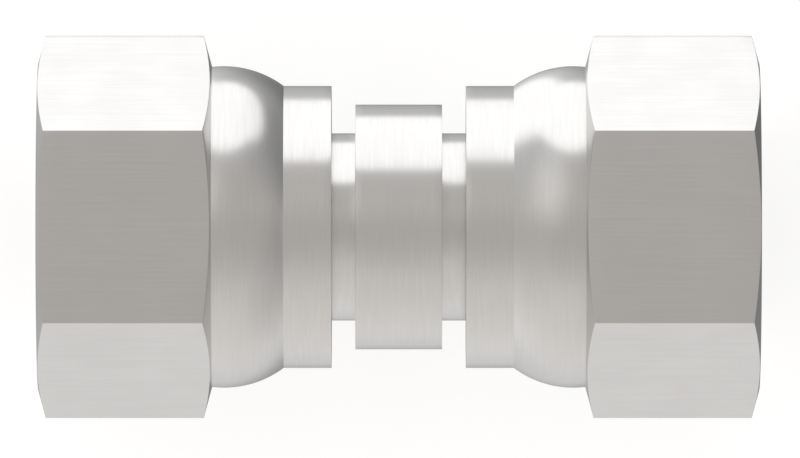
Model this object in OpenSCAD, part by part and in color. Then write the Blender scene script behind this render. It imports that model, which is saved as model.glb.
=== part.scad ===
// Straight hydraulic adapter with a swivel nut at each end: a turned body with a flared
// seat in each head, and two hexagon nuts whose skirts are crimped over the heads.
// The flow axis is X, the origin is the middle of the body, and the nuts lie on a flat.

/* [Adapter body] */
// Diameter of the neck on each side of the middle ring
neck_d = 12.55; // [12:0.05:13.5]
// Thickness of the neck's wall, around the bore that the fluid flows through
neck_wall = 1.325; // [1:0.025:2]
// Diameter of the middle ring
ring_d = 16.4; // [15:0.1:18.8]
// Length of the middle ring
ring_len = 5.8; // [3:0.1:12]
// Space between a nut's tail and the middle ring, left for the crimping tool
nut_gap = 1.6; // [1:0.1:4]
// Half angle of the flared seat in each head
seat_angle = 37; // [33:1:45]
// How far the mouth of the seat lies inside the line of the nut's thread bore
seat_inset = 0.15; // [0.1:0.05:0.4]
// How far a head stands out beyond the nut's thread bore, which stops the nut
head_catch = 0.25; // [0.15:0.05:0.4]

/* [Nut thread] */
// Bore of the nut's internal thread
thread_bore_d = 17.35; // [16:0.05:19]
// Height of the thread's profile, from its bore out to its largest radius
thread_height = 0.85; // [0.6:0.05:1]
// Distance from the thread's last turn to the back of the hexagon
thread_back = 1.45; // [1.2:0.05:2]
// Width of the countersink at the nut's mouth, beyond the thread
mouth_extra = 0.25; // [0.1:0.05:0.4]
// Depth of the relief groove behind the thread, beyond the thread
relief_extra = 0.15; // [0.05:0.05:0.25]
// Length of the relief groove
relief_len = 1.6; // [1.2:0.1:2]

/* [Crimped skirt] */
// Thickness of the skirt's wall in the dome
skirt_wall = 1.7; // [1.5:0.05:2]
// Length of the dome that crimping leaves behind the hexagon
dome_len = 4.8; // [4.4:0.1:6]
// Distance from the hexagon to the dome's largest diameter
dome_peak = 0.8; // [0.6:0.1:1.2]
// How far the straight tail is drawn in from the dome's largest radius
tail_drop = 1.325; // [1:0.025:1.7]
// Length of the tail
tail_len = 3.2; // [2:0.1:5]

/* [Hexagon] */
// How far each flat stands out beyond the dome, which sets the width across flats
flat_step = 0.325; // [0.2:0.025:1]
// Length of the hexagon along the flow axis
hex_len = 11.65; // [10:0.05:14]
// Angle of the corner bevels, measured from the end faces
bevel_angle = 15; // [10:1:25]
// Distance from the front bevel's inner edge to each flat
bevel_inset = 0.15; // [0.1:0.05:0.3]

/* [Fit and edges] */
// Running clearance between a head and the skirt around it
skirt_clearance = 0.15; // [0.1:0.01:0.2]
// End clearance between a head's face and the thread's last turn
end_clearance = 0.3; // [0.2:0.05:0.5]
// Clearance between the neck and the bore of the tail
tail_clearance = 1.025; // [0.5:0.025:1.3]
// Width of the broken edges on the ring, the heads and the tails
edge_break = 0.12; // [0.05:0.01:0.2]

/* [Hidden] */
$fn = 192;

// Sides of the hexagon, and the angle that turns a flat to face down
HEX_SIDES = 6;
HALF_SIDE_ANGLE = 180 / HEX_SIDES;
// How far a cutter reaches past the face it cuts, so that no skin is left
PAST = 1;

// Radii from the axis outwards: body, thread, head, skirt and hexagon
neck_r = neck_d / 2;
bore_r = neck_r - neck_wall;
thread_bore_r = thread_bore_d / 2;
mouth_r = thread_bore_r + thread_height + mouth_extra;
relief_r = thread_bore_r + thread_height + relief_extra;
seat_mouth_r = thread_bore_r - seat_inset;
head_r = thread_bore_r + head_catch;
skirt_bore_r = head_r + skirt_clearance;
dome_r = skirt_bore_r + skirt_wall;
tail_r = dome_r - tail_drop;
tail_bore_r = neck_r + tail_clearance;
flat_r = dome_r + flat_step;
corner_r = flat_r / cos(HALF_SIDE_ANGLE);
bevel_r = flat_r - bevel_inset;

// Depths below a nut's front face, and half the length of the whole fitting
thread_depth = hex_len - thread_back;
head_depth = thread_depth + end_clearance;
peak_depth = hex_len + dome_peak;
nut_len = hex_len + dome_len + tail_len;
seat_depth = (seat_mouth_r - bore_r) / tan(seat_angle);
half_len = ring_len / 2 + nut_gap + nut_len;

// The dome's arc has its centre level with the peak and ends on the tail's edge
arc_run = dome_len - dome_peak;
dome_arc_r = (arc_run * arc_run + tail_drop * tail_drop) / (2 * tail_drop);
arc_centre_r = dome_r - dome_arc_r;
foot_r = arc_centre_r + sqrt(dome_arc_r * dome_arc_r - dome_peak * dome_peak);
head_arc_r = dome_arc_r - skirt_wall - skirt_clearance;

// Rectangle of the (radius, depth) plane from depth a to depth b, out to radius r
module band(r, a, b) {
    translate([0, a]) square([r, b - a]);
}

// Band whose outer corners are broken at an end where the flag is 1
module broken_band(r, a, b, at_a, at_b) {
    polygon([
        [0, a], [r - edge_break * at_a, a], [r, a + edge_break * at_a],
        [r, b - edge_break * at_b], [r - edge_break * at_b, b], [0, b]
    ]);
}

// Disc about the dome's centre, kept only behind the peak, where it closes in
module closing_arc(r) {
    intersection() {
        translate([arc_centre_r, peak_depth]) circle(r = r);
        band(dome_r, peak_depth, nut_len);
    }
}

// Bevelled outline that trims the corners of the hexagon: the front bevel starts inside
// the flats, and the rear one runs down past the dome's foot, into the dome
module bevel_profile() {
    reach = corner_r + PAST;
    slope = tan(bevel_angle);
    inner = foot_r - PAST;
    polygon([
        [0, 0], [bevel_r, 0],
        [reach, (reach - bevel_r) * slope],
        [reach, hex_len - (reach - foot_r) * slope],
        [inner, hex_len + (foot_r - inner) * slope],
        [0, hex_len + (foot_r - inner) * slope]
    ]);
}

// Outside of the skirt: the dome, which runs on inside the hexagon and the tail, and the tail
module skirt_profile() {
    intersection() {
        translate([arc_centre_r, peak_depth]) circle(r = dome_arc_r);
        band(dome_r + PAST, hex_len - dome_peak, nut_len);
    }
    broken_band(tail_r, hex_len, nut_len, 0, 1);
}

// Inside of the nut: mouth, thread bore, relief, skirt bore, closing arc and tail bore
module nut_cavity_profile() {
    polygon([
        [0, -PAST], [mouth_r + PAST, -PAST],
        [thread_bore_r, mouth_r - thread_bore_r], [0, mouth_r - thread_bore_r]
    ]);
    band(thread_bore_r, 0, thread_depth);
    band(relief_r, thread_depth, thread_depth + relief_len);
    band(skirt_bore_r, thread_depth, peak_depth);
    closing_arc(dome_arc_r - skirt_wall);
    band(tail_bore_r, peak_depth, nut_len + PAST);
    polygon([
        [0, nut_len - edge_break], [tail_bore_r, nut_len - edge_break],
        [tail_bore_r + edge_break + PAST, nut_len + PAST], [0, nut_len + PAST]
    ]);
}

// Nut with its front face at the origin and its tail towards +Z
module swivel_nut() {
    difference() {
        union() {
            intersection() {
                rotate([0, 0, HALF_SIDE_ANGLE])
                    cylinder(r = corner_r, h = hex_len + PAST, $fn = HEX_SIDES);
                rotate_extrude() bevel_profile();
            }
            rotate_extrude() skirt_profile();
        }
        rotate_extrude() nut_cavity_profile();
    }
}

// Turns a piece that is modelled by depth so that it points in from the +X end
module from_right_end() {
    translate([half_len, 0, 0]) rotate([0, -90, 0]) children();
}

// One end of the body: the head, with the flared seat left to seat_profile
module head_profile() {
    broken_band(head_r, head_depth, peak_depth, 1, 0);
    closing_arc(head_arc_r);
    band(neck_r, head_depth + PAST, half_len);
}

// The seat's cone, running on past the head's face
module seat_profile() {
    past_r = seat_mouth_r + PAST * tan(seat_angle);
    polygon([
        [0, head_depth - PAST], [past_r, head_depth - PAST],
        [bore_r, head_depth + seat_depth], [0, head_depth + seat_depth]
    ]);
}

// Shows a profile and its mirror image about the middle of the body
module both_ends() {
    children();
    translate([0, 2 * half_len]) mirror([0, 1]) children();
}

module body_profile() {
    difference() {
        union() {
            both_ends() head_profile();
            broken_band(ring_d / 2, half_len - ring_len / 2, half_len + ring_len / 2, 1, 1);
        }
        both_ends() seat_profile();
        band(bore_r, 0, 2 * half_len);
    }
}

module adapter_body() {
    color("silver") from_right_end() rotate_extrude() body_profile();
}

module swivel_nut_right() {
    color("gainsboro") from_right_end() swivel_nut();
}

module swivel_nut_left() {
    color("gainsboro") mirror([1, 0, 0]) from_right_end() swivel_nut();
}

adapter_body();
swivel_nut_left();
swivel_nut_right();
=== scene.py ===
"""Looks of the straight adapter fitting: zinc-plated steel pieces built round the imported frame."""

import math

import bmesh
import bpy
import numpy as np
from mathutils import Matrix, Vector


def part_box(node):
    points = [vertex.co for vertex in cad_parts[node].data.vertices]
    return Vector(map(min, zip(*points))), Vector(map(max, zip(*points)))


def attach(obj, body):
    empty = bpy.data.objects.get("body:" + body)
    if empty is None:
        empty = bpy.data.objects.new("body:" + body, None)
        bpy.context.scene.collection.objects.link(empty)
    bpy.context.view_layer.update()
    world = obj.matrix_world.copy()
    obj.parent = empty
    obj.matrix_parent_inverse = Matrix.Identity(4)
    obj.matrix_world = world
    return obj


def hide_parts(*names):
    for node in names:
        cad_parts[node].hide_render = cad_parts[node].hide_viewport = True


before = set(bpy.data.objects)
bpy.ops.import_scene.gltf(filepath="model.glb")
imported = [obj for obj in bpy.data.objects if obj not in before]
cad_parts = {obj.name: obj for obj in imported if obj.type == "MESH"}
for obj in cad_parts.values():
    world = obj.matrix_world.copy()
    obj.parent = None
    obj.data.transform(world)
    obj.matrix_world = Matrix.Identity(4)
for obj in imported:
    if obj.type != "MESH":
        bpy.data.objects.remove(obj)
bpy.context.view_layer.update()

MM = 0.001
TAU = 2 * math.pi

# Sizes that the frame gives: half the length, the nuts' outline and the heads
nut_low, nut_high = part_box("swivel_nut_right")
_, body_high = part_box("adapter_body")
HALF_LENGTH = nut_high.x
NUT_LENGTH = nut_high.x - nut_low.x
FLAT_R = nut_high.z
HEAD_R = body_high.z
HEAD_X = body_high.x
FLOOR_Z = nut_low.z

# Nut, in depths below its front face and radii from the flow axis
HEX_SIDES = 6
HEX_LENGTH = 11.65 * MM
BEVEL_SLOPE = math.tan(math.radians(15))
BEVEL_INSET = 0.15 * MM
BEVEL_R = FLAT_R - BEVEL_INSET
SKIRT_CLEARANCE = 0.15 * MM
SKIRT_BORE_R = HEAD_R + SKIRT_CLEARANCE
SKIRT_WALL = 1.7 * MM
DOME_LENGTH = 4.8 * MM
DOME_PEAK = 0.8 * MM
DOME_R = SKIRT_BORE_R + SKIRT_WALL
DOME_END = HEX_LENGTH + DOME_LENGTH
PEAK_DEPTH = HEX_LENGTH + DOME_PEAK
TAIL_DROP = 1.325 * MM
TAIL_R = DOME_R - TAIL_DROP
TAIL_BORE_R = 7.3 * MM

# One arc makes the dome: its radius, the radius of its centre, and where it meets the hexagon
DOME_ARC_R = ((DOME_END - PEAK_DEPTH) ** 2 + (DOME_R - TAIL_R) ** 2) / (2 * (DOME_R - TAIL_R))
ARC_CENTRE_R = DOME_R - DOME_ARC_R
FOOT_R = ARC_CENTRE_R + math.sqrt(DOME_ARC_R**2 - (PEAK_DEPTH - HEX_LENGTH) ** 2)

# Internal thread, right-hand, between its bore and its root, with a countersink and a relief groove
INCH = 25.4 * MM
TURNS_PER_INCH = 16
PITCH = INCH / TURNS_PER_INCH
HALF_ROOT_FLAT = PITCH / 16
FLANK_ANGLE = math.radians(30)
THREAD_BORE_R = 8.675 * MM
THREAD_ROOT_R = 9.525 * MM
THREAD_END = 10.2 * MM
MOUTH_EXTRA = 0.25 * MM
MOUTH_R = THREAD_ROOT_R + MOUTH_EXTRA
RELIEF_EXTRA = 0.15 * MM
RELIEF_R = THREAD_ROOT_R + RELIEF_EXTRA
RELIEF_LENGTH = 1.6 * MM
RELIEF_END = THREAD_END + RELIEF_LENGTH

# Adapter body
NECK_R = 6.275 * MM
BORE_R = 4.95 * MM
RING_R = 8.2 * MM
RING_HALF = 2.9 * MM
SEAT_MOUTH_R = 8.525 * MM
SEAT_SLOPE = math.tan(math.radians(37))
HEAD_ARC_R = DOME_ARC_R - SKIRT_WALL - SKIRT_CLEARANCE

# Radii of the rounded edges: most edges, thread and grooves, tails and ring, hexagon corners
EDGE_ROUND = 0.03 * MM
FINE_ROUND = 0.025 * MM
TURNED_ROUND = 0.014 * MM
CORNER_ROUND = 0.06 * MM

# A little way down the countersink, which shows its slope where it meets the front face
LIP_RUN = 4 * EDGE_ROUND

# How finely rounded edges and surfaces are divided
ROUND_STEPS = 4
FLAT_STEPS = 36
CORNER_STEPS = 4
DOME_STEPS = 40
INNER_DOME_STEPS = 13
HEAD_STEPS = 16
FLANK_STEPS = 4
CREST_STEPS = 3
RING_STEPS = 10
BODY_COLUMNS = 256

# Points this near become one, and edges that turn more than this angle stay sharp
MERGE = 1e-4 * MM
SHARP_ANGLE = math.radians(32)


def pair(depth, radius, columns):
    """One row of (depth, radius) points, each the same or varying over the columns."""
    return np.stack([np.broadcast_to(depth, columns), np.broadcast_to(radius, columns)], axis=1)


def unit(vectors):
    return vectors / np.linalg.norm(vectors, axis=1, keepdims=True)


def fillet(before, corner, after, radius):
    """Rows of an arc that rounds the corner between its neighbours, in every column at once."""
    to_before = unit(before - corner)
    to_after = unit(after - corner)
    half = np.arccos(np.clip((to_before * to_after).sum(axis=1), -1, 1)) / 2
    centre = corner + unit(to_before + to_after) * (radius / np.sin(half))[:, None]
    run = (radius / np.tan(half))[:, None]
    start = corner + to_before * run - centre
    end = corner + to_after * run - centre
    sweep = math.pi - 2 * half
    rows = []
    for share in np.linspace(0, 1, ROUND_STEPS + 1):
        weight_start = np.sin((1 - share) * sweep) / np.sin(sweep)
        weight_end = np.sin(share * sweep) / np.sin(sweep)
        rows.append(centre + start * weight_start[:, None] + end * weight_end[:, None])
    return rows


def outline(points, columns):
    """Rows along an outline of (depth, radius, rounding, steps to here) points."""
    corners = [pair(depth, radius, columns) for depth, radius, _, _ in points]
    rows = []
    for i, (_, _, rounding, steps) in enumerate(points):
        if rounding and 0 < i < len(points) - 1:
            new = fillet(corners[i - 1], corners[i], corners[i + 1], rounding)
        else:
            new = [corners[i]]
        if rows:
            rows += [rows[-1] + (new[0] - rows[-1]) * k / steps for k in range(1, steps)]
        rows += new
    return rows


def arc_points(centre_depth, centre_r, radius, start, end, steps):
    """Outline points on a circle between two angles, measured from the radial direction."""
    return [
        (centre_depth + radius * math.sin(a), centre_r + radius * math.cos(a), 0, 1)
        for a in np.linspace(start, end, steps + 1)
    ]


class Grid:
    """Rows of vertices round the flow axis, joined by quads, in (depth, u, v) space."""

    def __init__(self, columns):
        self.columns = columns
        self.points = []
        self.faces = []
        self.rows = []

    def add_row(self, row, angles):
        self.rows.append(len(self.points))
        for (depth, radius), angle in zip(row, angles):
            self.points.append((depth, radius * math.cos(angle), radius * math.sin(angle)))

    def add_quad(self, row_a, row_b, column, row_a_next=None, row_b_next=None):
        """A quad between two rows, whose second column may lie on rows further on."""
        after = (column + 1) % self.columns
        a = self.rows[row_a] + column
        b = self.rows[row_b] + column
        a_after = self.rows[row_a if row_a_next is None else row_a_next] + after
        b_after = self.rows[row_b if row_b_next is None else row_b_next] + after
        self.faces.append((a, a_after, b_after, b))

    def join(self, row_a, row_b):
        for column in range(self.columns):
            self.add_quad(row_a, row_b, column)

    def add_rows(self, rows, angles):
        """Adds rows, each joined to the one before it."""
        for row in rows:
            self.add_row(row, angles)
            if len(self.rows) > 1:
                self.join(len(self.rows) - 2, len(self.rows) - 1)


def hexagon_columns():
    """Angles of the nut's columns on the hexagon and on its round parts, and the hexagon's radius."""
    side = TAU / HEX_SIDES
    corner_r = FLAT_R / math.cos(side / 2)
    centre_r = corner_r - CORNER_ROUND / math.cos(side / 2)
    on_hexagon = []
    on_round = []
    radius = []
    for corner in np.arange(HEX_SIDES) * side:
        for turn in np.linspace(-side / 2, side / 2, CORNER_STEPS + 1):
            u = centre_r + CORNER_ROUND * math.cos(turn)
            v = CORNER_ROUND * math.sin(turn)
            on_hexagon.append(corner + math.atan2(v, u))
            on_round.append(corner)
            radius.append(math.hypot(u, v))
        edge = on_hexagon[-1] - corner
        for i in range(1, FLAT_STEPS):
            angle = edge + (side - 2 * edge) * i / FLAT_STEPS
            on_hexagon.append(corner + angle)
            on_round.append(corner + side * i / FLAT_STEPS)
            radius.append(FLAT_R / math.cos(angle - side / 2))
    return np.array(on_hexagon), np.array(on_round), np.array(radius)


def thread_profile():
    """(Distance along the axis, radius) points of one turn of the thread, from mid root to mid root."""
    flank = (THREAD_ROOT_R - THREAD_BORE_R) * math.tan(FLANK_ANGLE)
    crest_start = HALF_ROOT_FLAT + flank
    corners = [
        (0, THREAD_ROOT_R, 0, 1),
        (HALF_ROOT_FLAT, THREAD_ROOT_R, FINE_ROUND, 1),
        (crest_start, THREAD_BORE_R, FINE_ROUND, FLANK_STEPS),
        (PITCH - crest_start, THREAD_BORE_R, FINE_ROUND, CREST_STEPS),
        (PITCH - HALF_ROOT_FLAT, THREAD_ROOT_R, FINE_ROUND, FLANK_STEPS),
        (PITCH, THREAD_ROOT_R, 0, 1),
    ]
    return np.array([row[0] for row in outline(corners, 1)])


def add_thread(grid, angles, start, start_r, wall_row):
    """Helical rows from the countersink's edge to the relief groove, where they stop at flat ends."""
    profile = thread_profile()
    turn = profile[:-1]
    rise = PITCH * angles / TAU
    end_place = np.mod(THREAD_END - start - rise, PITCH)
    end_r = np.interp(end_place, profile[:, 0], profile[:, 1])
    turns = math.ceil((THREAD_END - start) / PITCH) + 1
    helix = [(k * PITCH + along, radius) for k in range(turns) for along, radius in turn]
    helix.append((turns * PITCH, turn[0][1]))

    first = len(grid.rows)
    for along, radius in helix:
        depth = np.clip(start - PITCH + rise + along, start, THREAD_END)
        cone_r = start_r - (depth - start)
        row_r = np.maximum(radius, cone_r)
        row_r = np.where(depth >= THREAD_END, end_r, row_r)
        row_r = np.where(depth <= start, start_r, row_r)
        grid.add_row(np.stack([depth, row_r], axis=1), angles)

    # One turn of the helix is a turn's rows further on, so the last column meets rows beyond it
    last = first + len(helix) - 1
    for row in range(first, last):
        for column in range(grid.columns - 1):
            grid.add_quad(row, row + 1, column)
        beyond = min(row + len(turn), last)
        beyond_next = min(row + 1 + len(turn), last)
        grid.add_quad(row, row + 1, grid.columns - 1, beyond, beyond_next)
    grid.join(wall_row, last)


def build_nut_grid():
    """The whole nut: hexagon with bevels, dome, tail, inner walls and the internal thread."""
    on_hexagon, on_round, hex_r = hexagon_columns()
    n = len(hex_r)
    grid = Grid(n)
    cone_row = pair(LIP_RUN, MOUTH_R - LIP_RUN, n)
    lip = fillet(cone_row, pair(0, MOUTH_R, n), pair(0, BEVEL_R, n), EDGE_ROUND)
    grid.add_rows(lip[:-1], on_round)

    # The columns spread from the round face's angles to the hexagon's, and back at the dome's foot
    front = [
        (0, MOUTH_R + EDGE_ROUND, 0, 1),
        (0, BEVEL_R, EDGE_ROUND, 6),
        ((hex_r - BEVEL_R) * BEVEL_SLOPE, hex_r, EDGE_ROUND, 3),
        (HEX_LENGTH - (hex_r - FOOT_R) * BEVEL_SLOPE, hex_r, EDGE_ROUND, 12),
        (HEX_LENGTH, FOOT_R, 0, 3),
    ]
    for row in [lip[-1]] + outline(front, n)[1:]:
        share = np.clip((row[:, 1] - FOOT_R) / (hex_r - FOOT_R), 0, 1)
        grid.add_rows([row], on_round + (on_hexagon - on_round) * share)

    # Dome and tail outside, then inside from the tail's bore to the thread's end
    foot_angle = -math.asin((PEAK_DEPTH - HEX_LENGTH) / DOME_ARC_R)
    end_angle = math.asin((DOME_END - PEAK_DEPTH) / DOME_ARC_R)
    inner_arc_r = DOME_ARC_R - SKIRT_WALL
    bore_angle = math.acos((TAIL_BORE_R - ARC_CENTRE_R) / inner_arc_r)
    bore_depth = PEAK_DEPTH + inner_arc_r * math.sin(bore_angle)
    rear = arc_points(PEAK_DEPTH, ARC_CENTRE_R, DOME_ARC_R, foot_angle, end_angle, DOME_STEPS)[1:]
    rear += [
        (NUT_LENGTH, TAIL_R, TURNED_ROUND, 6),
        (NUT_LENGTH, TAIL_BORE_R, EDGE_ROUND, 3),
        (bore_depth, TAIL_BORE_R, 0, 6),
    ]
    rear += arc_points(PEAK_DEPTH, ARC_CENTRE_R, inner_arc_r, bore_angle, 0, INNER_DOME_STEPS)[1:]
    rear += [
        (RELIEF_END, SKIRT_BORE_R, FINE_ROUND, 1),
        (RELIEF_END, RELIEF_R, FINE_ROUND, 1),
        (THREAD_END, RELIEF_R, FINE_ROUND, 2),
        (THREAD_END, THREAD_ROOT_R, 0, 2),
    ]
    grid.add_rows(outline(rear, n), on_round)

    start, start_r = lip[0][0]
    add_thread(grid, on_round, start, start_r, len(grid.rows) - 1)
    return grid


def build_body_grid():
    """The turned body: over one head, neck, ring, neck and head, and back through the bore."""
    seat_end = HEAD_X - (SEAT_MOUTH_R - BORE_R) / SEAT_SLOPE
    peak_x = HALF_LENGTH - PEAK_DEPTH
    neck_angle = math.acos((NECK_R - ARC_CENTRE_R) / HEAD_ARC_R)
    neck_x = peak_x - HEAD_ARC_R * math.sin(neck_angle)
    half = [
        (seat_end, BORE_R, EDGE_ROUND, 8),
        (HEAD_X, SEAT_MOUTH_R, EDGE_ROUND, 12),
        (HEAD_X, HEAD_R, EDGE_ROUND, 2),
    ]
    half += arc_points(peak_x, ARC_CENTRE_R, HEAD_ARC_R, 0, -neck_angle, HEAD_STEPS)
    half += [
        (neck_x - FINE_ROUND, NECK_R, 0, 1),
        (RING_HALF, NECK_R, TURNED_ROUND, 8),
        (RING_HALF, RING_R, TURNED_ROUND, 4),
    ]

    # The other half is the same in reverse, so its step counts move on by one point
    corners = half + [(-x, radius, rounding, 0) for x, radius, rounding, _ in reversed(half)]
    half_steps = [point[3] for point in half]
    steps = half_steps + [RING_STEPS] + half_steps[:0:-1]
    points = [(x, radius, rounding, count) for (x, radius, rounding, _), count in zip(corners, steps)]
    middle = (0, BORE_R, 0, half_steps[0])
    grid = Grid(BODY_COLUMNS)
    angles = np.arange(BODY_COLUMNS) * TAU / BODY_COLUMNS
    grid.add_rows(outline([middle] + points + [middle], BODY_COLUMNS), angles)
    return grid


class Nodes:
    """Adds nodes to a tree: inputs are numbers, colours or the sockets that feed them."""

    def __init__(self, tree):
        self.tree = tree

    def add(self, kind, inputs=(), output=0, **settings):
        node = self.tree.nodes.new(kind)
        for key, value in settings.items():
            setattr(node, key, value)
        for key, value in dict(inputs).items():
            if isinstance(value, bpy.types.NodeSocket):
                self.tree.links.new(value, node.inputs[key])
            else:
                node.inputs[key].default_value = value
        return node.outputs[output]

    def add_output(self, kind, shader):
        node = self.tree.nodes.new(kind)
        self.tree.links.new(shader, node.inputs["Surface"])

    def math(self, operation, *values):
        return self.add("ShaderNodeMath", dict(enumerate(values)), operation=operation)

    def vector(self, operation, a, b):
        return self.add("ShaderNodeVectorMath", {0: a, 1: b}, operation=operation)

    def split(self, vector):
        node = self.add("ShaderNodeSeparateXYZ", {0: vector}).node
        return [node.outputs[axis] for axis in "XYZ"]

    def smooth(self, value, low, high, to_low=0.0, to_high=1.0):
        limits = {0: value, 1: low, 2: high, 3: to_low, 4: to_high}
        return self.add("ShaderNodeMapRange", limits, interpolation_type="SMOOTHSTEP")

    def mix(self, share, a, b):
        return self.add("ShaderNodeMix", {0: share, 2: a, 3: b})

    def mix_colour(self, share, a, b):
        return self.add("ShaderNodeMix", {0: share, 6: a, 7: b}, 2, data_type="RGBA")

    def noise(self, vector, size):
        inputs = {"Vector": vector, "Scale": 1 / size, "Detail": NOISE_DETAIL}
        return self.add("ShaderNodeTexNoise", inputs)

    def ramp(self, value, stops):
        """Colour ramp through (position, colour) stops."""
        node = self.tree.nodes.new("ShaderNodeValToRGB")
        elements = node.color_ramp.elements
        while len(elements) < len(stops):
            elements.new(0.5)
        for element, (position, colour) in zip(elements, stops):
            element.position = position
            element.color = (*colour, 1)
        self.tree.links.new(value, node.inputs["Fac"])
        return node.outputs["Color"]


# Zinc-plated steel: its tone where the plating is bright and dull, and how rough it is there
BRIGHT_ZINC = (0.630, 0.625, 0.615, 1)
DULL_ZINC = (0.608, 0.603, 0.594, 1)
# Painted shade: the thread's roots are darkened to this share of the tone
ROOT_PAINTED_SHADE = 0.90
BRIGHT_ROUGHNESS = 0.205
DULL_ROUGHNESS = 0.24
DULL_START = 0.35
DULL_END = 0.65
CLOUD_SIZE = 3.5 * MM
NOISE_DETAIL = 2.0

# Marks of the lathe round turned faces, and of the die along the hexagon's flats
TURNING_SIZE = 0.16 * MM
TURNING_WANDER = 0.5 * MM
DRAWING_SIZE = 0.14 * MM
DRAWING_STRETCH = 0.02
MARK_DEPTH = 0.0014 * MM
MARK_SHARE = 0.5

# The flats lie beyond this radius, with normals that lean less than this along the axis
FLATS_START_R = (DOME_R + BEVEL_R) / 2
FLATS_LEAN = 0.5

# How far the pattern is moved along the axis, so that the pieces differ
NUT_OFFSET = 0.031
BODY_OFFSET = 0.117


def add_steel(name, offset):
    """Plated steel with lathe marks, drawn flats, cloudy plating and painted shade in the thread roots.
    """
    material = bpy.data.materials.new(name)
    material.use_nodes = True
    n = Nodes(material.node_tree)
    shader = material.node_tree.nodes["Principled BSDF"]
    coordinates = n.add("ShaderNodeTexCoord").node
    place = coordinates.outputs["Object"]
    x, y, z = n.split(place)
    normal_x = n.split(coordinates.outputs["Normal"])[0]
    radius = n.math("SQRT", n.math("ADD", n.math("MULTIPLY", y, y), n.math("MULTIPLY", z, z)))
    reach = n.math("ABSOLUTE", x)

    # Lathe marks follow the distance along the turned outline and wander a little round the axis
    along_outline = n.math("ADD", n.math("ADD", reach, radius), offset)
    wander = n.math("DIVIDE", TURNING_WANDER, radius)
    wander_y = n.math("MULTIPLY", y, wander)
    wander_z = n.math("MULTIPLY", z, wander)
    turned_place = n.add("ShaderNodeCombineXYZ", {0: along_outline, 1: wander_y, 2: wander_z})
    turning = n.noise(turned_place, TURNING_SIZE)

    # Drawing marks run along the axis, on the hexagon's flats alone
    drawing = n.noise(n.vector("MULTIPLY", place, (DRAWING_STRETCH, 1, 1)), DRAWING_SIZE)
    beyond_dome = n.math("GREATER_THAN", radius, FLATS_START_R)
    across_axis = n.math("LESS_THAN", n.math("ABSOLUTE", normal_x), FLATS_LEAN)
    marks = n.mix(n.math("MULTIPLY", beyond_dome, across_axis), turning, drawing)

    # Plating clouds are broad, and the marks show in them a little
    cloud = n.noise(n.vector("ADD", place, (offset, 0, 0)), CLOUD_SIZE)
    dull = n.smooth(n.mix(MARK_SHARE, cloud, marks), DULL_START, DULL_END)
    tone = n.mix_colour(dull, BRIGHT_ZINC, DULL_ZINC)
    # Painted shade darkens the thread from its crests towards its roots
    inside = n.math("LESS_THAN", radius, MOUTH_R)
    in_thread = n.math("MULTIPLY", inside, n.math("GREATER_THAN", reach, HEAD_X))
    root_shade =n.smooth(radius, THREAD_BORE_R, THREAD_ROOT_R, 1.0, ROOT_PAINTED_SHADE)
    root_shade_share = n.mix(in_thread, 1.0, root_shade)
    tone = n.add("ShaderNodeVectorMath", {0: tone, 3: root_shade_share}, operation="SCALE")
    roughness = n.mix(dull, BRIGHT_ROUGHNESS, DULL_ROUGHNESS)
    bump = n.add("ShaderNodeBump", {"Strength": 1.0, "Distance": MARK_DEPTH, "Height": marks})

    shader.inputs["Metallic"].default_value = 1
    links = material.node_tree.links
    links.new(tone, shader.inputs["Base Color"])
    links.new(roughness, shader.inputs["Roughness"])
    links.new(bump, shader.inputs["Normal"])
    return material


def clean(mesh):
    """Merges the rows that meet, drops the faces that this closes up, and sets smooth shading."""
    bm = bmesh.new()
    bm.from_mesh(mesh)
    bmesh.ops.remove_doubles(bm, verts=bm.verts, dist=MERGE)
    bmesh.ops.dissolve_degenerate(bm, edges=bm.edges, dist=MERGE)
    bmesh.ops.recalc_face_normals(bm, faces=bm.faces)
    bm.to_mesh(mesh)
    bm.free()
    mesh.shade_smooth()
    mesh.set_sharp_from_angle(angle=SHARP_ANGLE)


def make_piece(name, grid, place, body, node, material):
    """A mesh object from a grid's points, placed by a function of (depth, u, v)."""
    mesh = bpy.data.meshes.new(name)
    mesh.from_pydata([place(*point) for point in grid.points], [], grid.faces)
    clean(mesh)
    mesh.materials.append(material)
    piece = bpy.data.objects.new(name, mesh)
    bpy.context.scene.collection.objects.link(piece)
    normals = piece.modifiers.new("normals", "WEIGHTED_NORMAL")
    normals.keep_sharp = True
    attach(piece, body)
    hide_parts(node)


def from_right_end(depth, u, v):
    return (HALF_LENGTH - depth, -u, v)


def from_left_end(depth, u, v):
    return (depth - HALF_LENGTH, u, v)


def along_axis(x, u, v):
    return (x, u, v)


nut_grid = build_nut_grid()
nut_steel = add_steel("nut_zinc_steel", NUT_OFFSET)
body_grid = build_body_grid()
body_steel = add_steel("body_zinc_steel", BODY_OFFSET)
make_piece(
    "threaded_nut_right", nut_grid, from_right_end, "nut_right", "swivel_nut_right",
    nut_steel,
)
make_piece(
    "threaded_nut_left", nut_grid, from_left_end, "nut_left", "swivel_nut_left",
    nut_steel,
)
make_piece(
    "turned_body", body_grid, along_axis, "adapter_body", "adapter_body",
    body_steel,
)

# Camera: straight above, as in the photograph, with a long lens for its parallel view.
# The picture is FRAME_WIDTH wide at the height VIEW_LEVEL above the flow axis.
LENS = 900
SENSOR = 36
FRAME_WIDTH = 53.33 * MM
VIEW_LEVEL = 7 * MM
CAMERA_X = 0.087 * MM
CAMERA_Y = -0.14 * MM
CLIP_NEAR = 0.1
CLIP_FAR = 10
camera = bpy.data.objects.new("camera", bpy.data.cameras.new("camera"))
bpy.context.scene.collection.objects.link(camera)
camera.data.lens = LENS
camera.data.sensor_width = SENSOR
camera.location = (CAMERA_X, CAMERA_Y, VIEW_LEVEL + FRAME_WIDTH * LENS / SENSOR)
camera.data.clip_start = CLIP_NEAR
camera.data.clip_end = CLIP_FAR
bpy.context.scene.camera = camera

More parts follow.
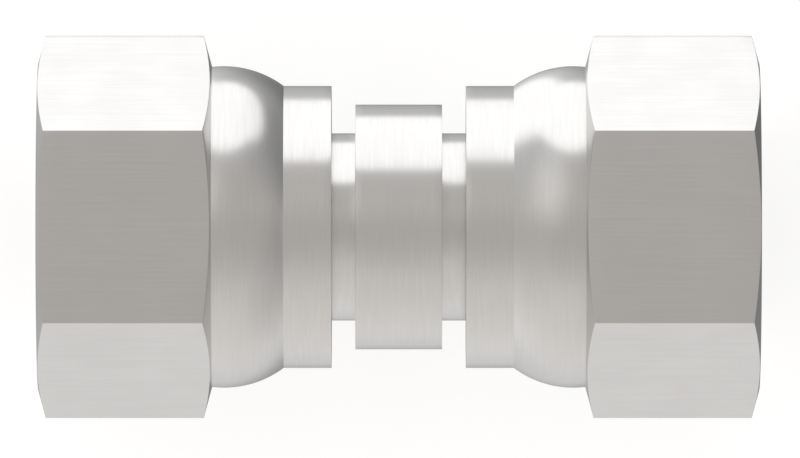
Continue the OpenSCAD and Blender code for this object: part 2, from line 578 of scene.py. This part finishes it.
# Studio light by direction, in degrees across the flow axis from overhead: level and tint
WARM = (1.045, 1.01, 0.985)
WARMER = (1.03, 0.995, 0.965)
FAINT = (1.02, 1.0, 0.995)
PLAIN = (1.0, 1.0, 1.0)
ACROSS = [
    (-180, 0.50, PLAIN),
    (-165, 0.65, PLAIN),
    (-150, 0.82, PLAIN),
    (-120, 0.975, FAINT),
    (-90, 0.90, WARM),
    (-60, 0.82, WARM),
    (-45, 0.76, WARM),
    (-30, 0.67, WARMER),
    (-15, 0.60, WARMER),
    (0, 0.59, WARMER),
    (20, 0.665, WARMER),
    (45, 0.655, WARMER),
    (60, 0.68, PLAIN),
    (120, 0.68, PLAIN),
    (150, 0.62, PLAIN),
    (180, 0.50, PLAIN),
]

# Share of the level by direction along the flow axis, from the left end at -1 to the right at 1
ALONG = [
    (-1.0, 0.95), (-0.85, 1.06), (-0.6, 1.02), (-0.4, 0.97), (0.0, 1.0),
    (0.4, 0.98), (0.7, 0.95), (0.85, 0.86), (1.0, 0.62),
]

# Soft light panels: centre along and across, half sizes along and across, softness, level
PANELS = [
    (-0.015, 92, 0.53, 36.5, 0.05, 0.98),
    (0.42, 87, 0.13, 16, 0.5, 0.98),
    (-0.46, 123.5, 0.36, 43, 0.2, 0.98),
    (-0.44, 32, 0.25, 24, 0.9, 0.29),
    (-0.40, 148, 0.30, 20, 0.8, 0.36),
    (-0.6, -85, 0.50, 55, 0.9, 0.07),
]

# Soft shades, given the same way, with the share of the level that each takes away
SHADES = [
    (0.85, 108, 0.50, 56, 0.6, 0.44),
    (0.38, 156, 0.34, 22, 0.5, 0.36),
    (0.38, 38, 0.30, 28, 0.8, 0.08),
    (0.95, -70, 0.42, 48, 0.6, 0.19),
    (-0.95, -62, 0.36, 40, 0.6, 0.16),
]

# One more shade below, where the directions across meet at 180 degrees from both sides
LOW_SHADE = (0.50, 180, 0.50, 32, 0.45, 0.50)

# Close to the flow axis itself the studio has one even level
POLE_LEVEL = 0.75
POLE_START = 0.93
POLE_END = 0.99

FULL_TURN = 360


def grey(level):
    return (level, level, level, 1)


def patch_mask(n, along, across, patch):
    """1 inside an oval patch of directions, falling to 0 over its soft edge."""
    centre_along, centre_across, half_along, half_across, softness, _ = patch
    u = n.math("DIVIDE", n.math("SUBTRACT", along, centre_along), half_along)
    v = n.math("DIVIDE", n.math("SUBTRACT", across, centre_across), half_across)
    length = n.math("SQRT", n.math("ADD", n.math("MULTIPLY", u, u), n.math("MULTIPLY", v, v)))
    return n.smooth(length, 1 + softness, 1 - softness)


def shade_share(n, along, across, patch):
    """Share of the light that is left where a shade lies."""
    taken = n.math("MULTIPLY", patch_mask(n, along, across, patch), patch[-1])
    return n.math("SUBTRACT", 1.0, taken)


def build_world():
    """Pale studio that the metal mirrors; the camera sees it plain white."""
    world = bpy.data.worlds.new("studio")
    world.use_nodes = True
    world.node_tree.nodes.clear()
    n = Nodes(world.node_tree)
    along, toward_y, upward = n.split(n.add("ShaderNodeTexCoord"))
    across = n.math("DEGREES", n.math("ARCTAN2", toward_y, upward))

    # A ramp runs from 0 to 1 with its middle at 0.5, and holds half of each share along the axis
    turn = n.math("ADD", n.math("DIVIDE", across, FULL_TURN), 0.5)
    tinted = [(a / FULL_TURN + 0.5, [level * t for t in tint]) for a, level, tint in ACROSS]
    base = n.ramp(turn, tinted)
    place_along = n.math("ADD", n.math("MULTIPLY", along, 0.5), 0.5)
    fall = n.ramp(place_along, [(x / 2 + 0.5, [share / 2] * 3) for x, share in ALONG])
    fall = n.math("MULTIPLY", fall, 2.0)
    for shade in SHADES:
        fall = n.math("MULTIPLY", fall, shade_share(n, along, across, shade))
    low = shade_share(n, along, n.math("ABSOLUTE", across), LOW_SHADE)
    fall = n.math("MULTIPLY", fall, low)
    light = 0.0
    for panel in PANELS:
        given = n.math("MULTIPLY", patch_mask(n, along, across, panel), panel[-1])
        light = n.math("MAXIMUM", light, given)
    total = n.add("ShaderNodeVectorMath", {0: base, 3: fall}, operation="SCALE")
    total = n.vector("ADD", total, light)
    pole = n.smooth(n.math("ABSOLUTE", along), POLE_START, POLE_END)
    total = n.mix_colour(pole, total, grey(POLE_LEVEL))
    camera_ray = n.add("ShaderNodeLightPath", output="Is Camera Ray")
    seen = n.mix_colour(camera_ray, total, grey(1))
    shader = n.add("ShaderNodeBackground", {"Color": seen})
    n.add_output("ShaderNodeOutputWorld", shader)
    bpy.context.scene.world = world


# Floor: half its side, how much of its shadow the camera sees, the white that it glows on its
# own, and its plain grey for every ray but the camera's
FLOOR_HALF = 3.0
SHADOW_SHARE = 0.5
FLOOR_GLOW = 0.71
FLOOR_GREY = 0.8


def build_floor():
    """Plain white floor that keeps a faint shadow, and that the metal doesn't mirror."""
    mesh = bpy.data.meshes.new("floor")
    h = FLOOR_HALF
    corners = [(-h, -h, FLOOR_Z), (h, -h, FLOOR_Z), (h, h, FLOOR_Z), (-h, h, FLOOR_Z)]
    mesh.from_pydata(corners, [], [(0, 1, 2, 3)])
    floor = bpy.data.objects.new("floor", mesh)
    bpy.context.scene.collection.objects.link(floor)
    floor.visible_glossy = False
    material = bpy.data.materials.new("white_floor")
    material.use_nodes = True
    material.node_tree.nodes.clear()
    n = Nodes(material.node_tree)
    shadowed = n.add("ShaderNodeBsdfDiffuse", {"Color": grey(SHADOW_SHARE)})
    white = n.add("ShaderNodeEmission", {"Color": grey(1), "Strength": FLOOR_GLOW})
    seen = n.add("ShaderNodeAddShader", {0: shadowed, 1: white})
    plain = n.add("ShaderNodeBsdfDiffuse", {"Color": grey(FLOOR_GREY)})
    camera_ray = n.add("ShaderNodeLightPath", output="Is Camera Ray")
    mixed = n.add("ShaderNodeMixShader", {0: camera_ray, 1: plain, 2: seen})
    n.add_output("ShaderNodeOutputMaterial", mixed)
    mesh.materials.append(material)


build_world()
build_floor()
bpy.context.scene.view_settings.view_transform = "Standard"
